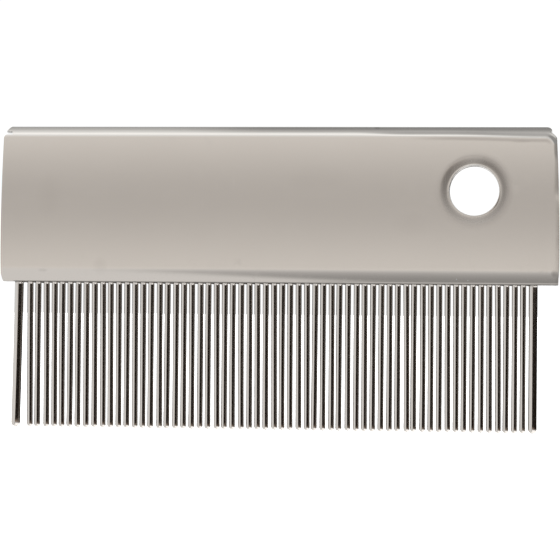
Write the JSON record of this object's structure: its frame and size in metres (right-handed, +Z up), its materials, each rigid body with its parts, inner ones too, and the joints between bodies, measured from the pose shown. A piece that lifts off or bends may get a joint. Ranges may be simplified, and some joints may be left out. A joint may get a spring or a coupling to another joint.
{
  "type": "flea comb",
  "caption": "All-metal fine-toothed grooming comb: a folded sheet spine with a hanging hole grips a single close row of round pins, with a thicker guard pin at each end.",
  "frame": {"origin": "on the tip line of the pins, half way along the spine and half way through its thickness", "axes": "+Z up from the pin tips to the folded edge of the spine, +X along the comb towards the end with the hanging hole, +Y through the thickness towards the back face"},
  "size_m": [0.08, 0.0028, 0.0435],
  "materials": {
    "plated_sheet": "nickel-plated steel sheet, polished, with fine handling scratches",
    "plated_pin": "bright nickel-plated steel wire, rounded tips",
    "brass_strip": "plain drilled brass, hidden inside the spine",
    "solder": "soft solder under the plating, slightly dull"
  },
  "bodies": {
    "root": {"fine_pin_31": "plated_pin", "fine_pins_01_02": "plated_pin", "fine_pins_03_04": "plated_pin", "fine_pins_05_06": "plated_pin", "fine_pins_07_08": "plated_pin", "fine_pins_09_10": "plated_pin", "fine_pins_11_12": "plated_pin", "fine_pins_13_14": "plated_pin", "fine_pins_15_16": "plated_pin", "fine_pins_17_18": "plated_pin", "fine_pins_19_20": "plated_pin", "fine_pins_21_22": "plated_pin", "fine_pins_23_24": "plated_pin", "fine_pins_25_26": "plated_pin", "fine_pins_27_28": "plated_pin", "fine_pins_29_30": "plated_pin", "fine_pins_32_33": "plated_pin", "fine_pins_34_35": "plated_pin", "fine_pins_36_37": "plated_pin", "fine_pins_38_39": "plated_pin", "fine_pins_40_41": "plated_pin", "fine_pins_42_43": "plated_pin", "fine_pins_44_45": "plated_pin", "fine_pins_46_47": "plated_pin", "fine_pins_48_49": "plated_pin", "fine_pins_50_51": "plated_pin", "fine_pins_52_53": "plated_pin", "fine_pins_54_55": "plated_pin", "fine_pins_56_57": "plated_pin", "fine_pins_58_59": "plated_pin", "fine_pins_60_61": "plated_pin", "guard_pin_left": "plated_pin", "guard_pin_right": "plated_pin", "pin_carrier_bar": "brass_strip", "solder_seam": "solder", "spine_sheet": "plated_sheet"}
  },
  "joints": []
}
